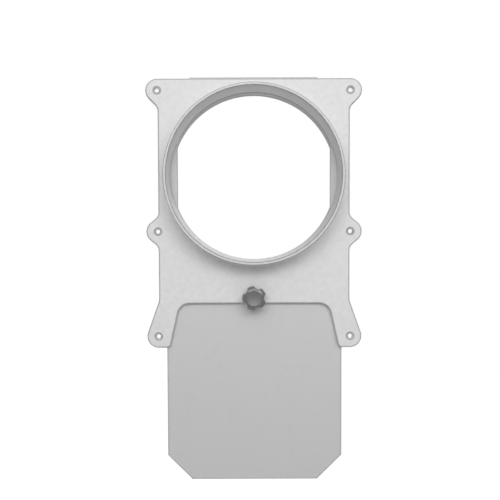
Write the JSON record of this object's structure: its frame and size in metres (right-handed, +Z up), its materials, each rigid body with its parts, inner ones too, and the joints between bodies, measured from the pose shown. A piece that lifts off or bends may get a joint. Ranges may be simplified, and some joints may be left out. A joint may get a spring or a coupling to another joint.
{
  "type": "blast gate",
  "caption": "Cast aluminium slide gate for a round dust duct: riveted halves with duct collars, a flat windowed plate that slides between them, and a lobed knob that locks it.",
  "frame": {"origin": "on the duct's axis, halfway through the gate plate's thickness", "axes": "+Z up, against the way the open gate plate hangs; -Y along the duct towards the front, where the lock knob is; +X to the right seen from the front"},
  "size_m": [0.2484, 0.079, 0.4675],
  "materials": {
    "cast_aluminium": "matt as cast, tumbled, with a fine mottled grain",
    "sheet_aluminium": "matt mill-finish sheet",
    "knob_plastic": "satin moulded plastic, dark grey",
    "zinc_plated_steel": "zinc plated"
  },
  "bodies": {
    "housing": {"front_casting": "cast_aluminium", "rear_casting": "cast_aluminium", "rivet_top_left": "zinc_plated_steel", "rivet_top_right": "zinc_plated_steel", "rivet_middle_left": "zinc_plated_steel", "rivet_middle_right": "zinc_plated_steel", "rivet_leg_left": "zinc_plated_steel", "rivet_leg_right": "zinc_plated_steel"},
    "gate": {"gate_plate": "sheet_aluminium"},
    "stud": {"lock_stud": "zinc_plated_steel"},
    "knob": {"lock_knob": "knob_plastic"}
  },
  "joints": [
    {"name": "gate_slide", "type": "slide", "parent": "housing", "child": "gate", "axis": [0, 0, 1], "range_m": [0, 0.2]},
    {"name": "stud_travel", "type": "slide", "parent": "housing", "child": "stud", "axis": [0, -1, 0], "range_m": [0, 0.002]},
    {"name": "knob_turn", "type": "hinge", "parent": "stud", "child": "knob", "pos_m": [0, -0.0093, -0.14], "axis": [0, -1, 0], "range_deg": [0, 720]}
  ],
  "couplings": [
    {"joint": "stud_travel", "follows": "knob_turn", "m_per_rad": 0.000159}
  ]
}
